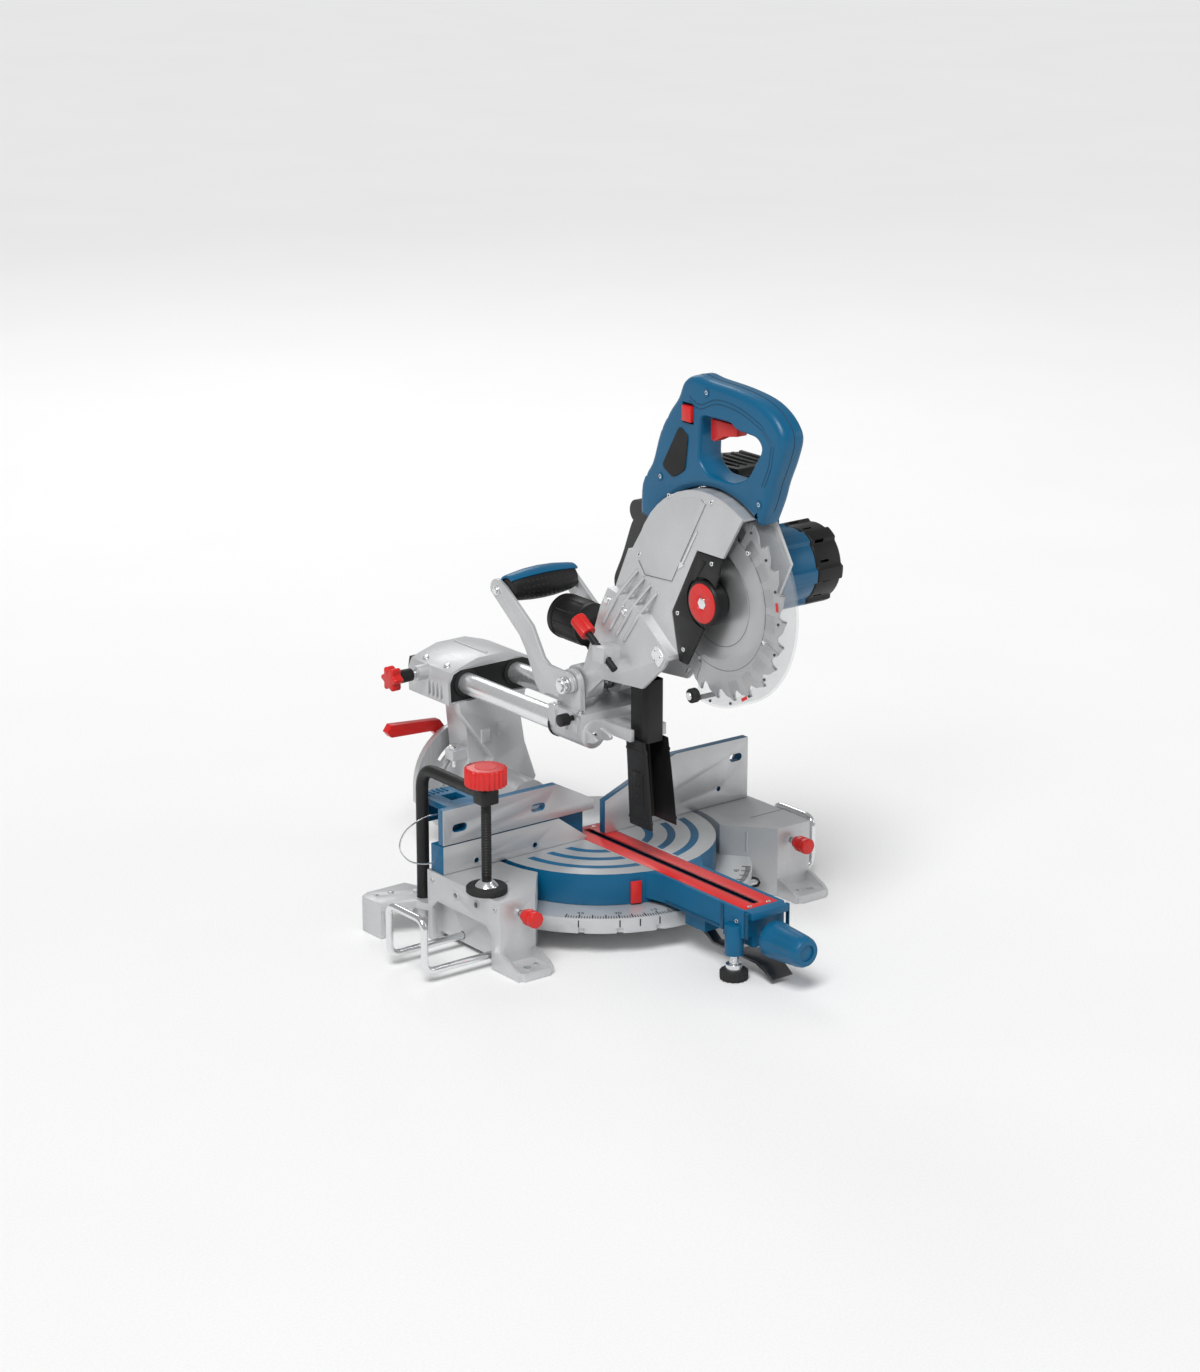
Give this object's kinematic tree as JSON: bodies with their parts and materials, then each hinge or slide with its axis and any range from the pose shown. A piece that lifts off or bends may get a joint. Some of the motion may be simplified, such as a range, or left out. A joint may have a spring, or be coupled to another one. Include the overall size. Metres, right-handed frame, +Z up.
{
  "type": "sliding mitre saw",
  "caption": "Benchtop sliding compound mitre saw with round turntable, split fence, rail-mounted tilting head, guarded blade, hold-down clamp and side extension bars.",
  "frame": {"origin": "bottom centre of the bounding box, on the bench", "axes": "+Z up from the bench, +Y from the front (mitre knob) to the back (rails), +X to the right (motor side)"},
  "size_m": [0.565, 0.657, 0.636],
  "materials": {
    "cast_metal": "satin cast",
    "bright_steel": "polished",
    "blade_steel": "brushed",
    "blue": "satin",
    "red": "satin",
    "black": "satin",
    "grey": "matte",
    "dark_steel": "dark",
    "clear": "clear plastic",
    "copper": "wound copper"
  },
  "bodies": {
    "base": {"base_casting": "cast_metal", "fence_left_lower": "blue", "fence_right": "cast_metal", "fence_wire": "bright_steel"},
    "left_fence": {"fence_left_upper": "cast_metal"},
    "table": {"turntable": "blue", "table_insert": "red", "pointer": "red"},
    "mitre_lock": {"mitre_knob": "blue", "mitre_shaft": "bright_steel"},
    "detent": {"detent_lever": "dark_steel"},
    "front_foot": {"foot_screw": "black"},
    "tilt": {"tilt_arm": "cast_metal", "rail_bearing_plate": "black", "bushing_left": "grey", "bushing_right": "grey", "bevel_stop_screw": "bright_steel"},
    "bevel_lock": {"bevel_lock_bolt": "bright_steel", "bevel_lock_lever": "red"},
    "rail_lock": {"rail_lock_knob": "red"},
    "slider": {"rail_left": "bright_steel", "rail_right": "bright_steel", "rail_end_plate": "black", "carriage": "cast_metal", "pivot_axle": "bright_steel", "head_spring": "dark_steel", "dust_tube": "black", "dust_port": "black", "carry_arm_left": "cast_metal", "carry_arm_right": "cast_metal", "carry_grip": "black"},
    "lock_pin": {"transport_pin": "black"},
    "boot": {"dust_boot": "black"},
    "head": {"upper_guard": "cast_metal", "guard_cover": "black", "gear_case": "grey", "motor_case": "blue", "motor_cap": "black", "motor_stator": "copper", "electronics_housing": "grey", "battery": "grey", "handle": "blue"},
    "rotor": {"motor_rotor": "dark_steel"},
    "spindle": {"arbor": "dark_steel", "blade": "blade_steel", "clamp_disc": "red", "drive_gear": "dark_steel"},
    "swing_guard": {"lower_guard": "clear"},
    "roller": {"guard_roller": "black"},
    "switch": {"trigger": "red"},
    "safety": {"lock_off_button": "red"},
    "depth_stop": {"depth_stop_screw": "red"},
    "left_bar": {"ext_bar_left": "bright_steel"},
    "right_bar": {"ext_bar_right": "bright_steel"},
    "left_bar_knob": {"bar_knob_left": "red"},
    "right_bar_knob": {"bar_knob_right": "red"},
    "clamp": {"clamp_post": "black"},
    "clamp_screw": {"clamp_spindle": "dark_steel", "clamp_knob": "red", "clamp_pad": "black"}
  },
  "joints": [
    {"name": "mitre_turn", "type": "hinge", "parent": "base", "child": "table", "pos_m": [0.0215, 0.0295, 0.06], "axis": [0, 0, 1], "range_deg": [-45, 45]},
    {"name": "mitre_lock_turn", "type": "hinge", "parent": "table", "child": "mitre_lock", "pos_m": [0.0215, -0.3005, 0.048], "axis": [0, 1, 0], "range_deg": [0, 270]},
    {"name": "detent_press", "type": "hinge", "parent": "table", "child": "detent", "pos_m": [0.0215, -0.1575, 0.031], "axis": [1, 0, 0], "range_deg": [-1.3, 0], "stiffness_Nm_per_rad": 2, "springref_deg": 11.46},
    {"name": "front_foot_adjust", "type": "slide", "parent": "table", "child": "front_foot", "axis": [0, 0, 1], "range_m": [0, 0.009]},
    {"name": "bevel", "type": "hinge", "parent": "table", "child": "tilt", "pos_m": [0.0215, 0.2545, 0.08], "axis": [0, 1, 0], "range_deg": [-47, 0]},
    {"name": "bevel_lock_turn", "type": "hinge", "parent": "tilt", "child": "bevel_lock", "pos_m": [0.0215, 0.3095, 0.1205], "axis": [0, 1, 0], "range_deg": [-25, 25]},
    {"name": "left_fence_slide", "type": "slide", "parent": "base", "child": "left_fence", "axis": [-1, 0, 0], "range_m": [0, 0.116]},
    {"name": "rail_slide", "type": "slide", "parent": "tilt", "child": "slider", "axis": [0, -1, 0], "range_m": [-0.17, 0]},
    {"name": "rail_lock_turn", "type": "hinge", "parent": "tilt", "child": "rail_lock", "pos_m": [-0.0785, 0.2795, 0.221], "axis": [1, 0, 0], "range_deg": [0, 270]},
    {"name": "transport_pin_pull", "type": "slide", "parent": "slider", "child": "lock_pin", "axis": [-1, 0, 0], "range_m": [0, 0.008]},
    {"name": "boot_swing", "type": "hinge", "parent": "slider", "child": "boot", "pos_m": [0.0215, -0.0555, 0.214], "axis": [1, 0, 0], "range_deg": [-76, 0]},
    {"name": "head_pivot", "type": "hinge", "parent": "slider", "child": "head", "pos_m": [0.0215, 0.0235, 0.266], "axis": [1, 0, 0], "range_deg": [0, 54], "stiffness_Nm_per_rad": 67, "springref_deg": -22.57},
    {"name": "blade_spin", "type": "hinge", "parent": "head", "child": "spindle", "pos_m": [0.0215, -0.1785, 0.4], "axis": [1, 0, 0], "continuous": true},
    {"name": "rotor_spin", "type": "hinge", "parent": "head", "child": "rotor", "pos_m": [0.0215, -0.1785, 0.422], "axis": [1, 0, 0], "continuous": true},
    {"name": "lower_guard_swing", "type": "hinge", "parent": "head", "child": "swing_guard", "pos_m": [0.0215, -0.1785, 0.4], "axis": [1, 0, 0], "range_deg": [-102, 0]},
    {"name": "guard_roller_spin", "type": "hinge", "parent": "swing_guard", "child": "roller", "pos_m": [0.0055, -0.1555, 0.292], "axis": [1, 0, 0], "continuous": true},
    {"name": "trigger_pull", "type": "slide", "parent": "head", "child": "switch", "axis": [0, 0, 1], "range_m": [0, 0.005], "stiffness_N_per_m": 900, "springref_m": -0.003},
    {"name": "lock_off_press", "type": "slide", "parent": "head", "child": "safety", "axis": [1, 0, 0], "range_m": [0, 0.003], "stiffness_N_per_m": 600, "springref_m": -0.002},
    {"name": "depth_stop_turn", "type": "hinge", "parent": "head", "child": "depth_stop", "pos_m": [-0.0285, -0.0425, 0.3174], "axis": [0, 0.8415, 0.5402], "range_deg": [-180, 180]},
    {"name": "left_bar_slide", "type": "slide", "parent": "base", "child": "left_bar", "axis": [-1, 0, 0], "range_m": [-0.06, 0.015]},
    {"name": "right_bar_slide", "type": "slide", "parent": "base", "child": "right_bar", "axis": [1, 0, 0], "range_m": [0, 0.075]},
    {"name": "left_bar_knob_turn", "type": "hinge", "parent": "base", "child": "left_bar_knob", "pos_m": [-0.1685, -0.1085, 0.0626], "axis": [0, 1, 0], "range_deg": [0, 180]},
    {"name": "right_bar_knob_turn", "type": "hinge", "parent": "base", "child": "right_bar_knob", "pos_m": [0.2115, -0.1085, 0.0626], "axis": [0, 1, 0], "range_deg": [0, 180]},
    {"name": "clamp_swivel", "type": "hinge", "parent": "base", "child": "clamp", "pos_m": [-0.1865, 0.0755, 0.1], "axis": [0, 0, 1], "range_deg": [-90, 0]},
    {"name": "clamp_screw_lift", "type": "slide", "parent": "clamp", "child": "clamp_screw", "axis": [0, 0, 1], "range_m": [0, 0.05]}
  ],
  "couplings": [
    {"joint": "left_fence_slide", "follows": "bevel", "m_per_rad": -0.1408},
    {"joint": "clamp_swivel", "follows": "bevel", "ratio": 1.9},
    {"joint": "boot_swing", "follows": "rail_slide", "rad_per_m": 7.7},
    {"joint": "lower_guard_swing", "follows": "head_pivot", "ratio": -1.85},
    {"joint": "rotor_spin", "follows": "blade_spin", "ratio": -3.4}
  ]
}
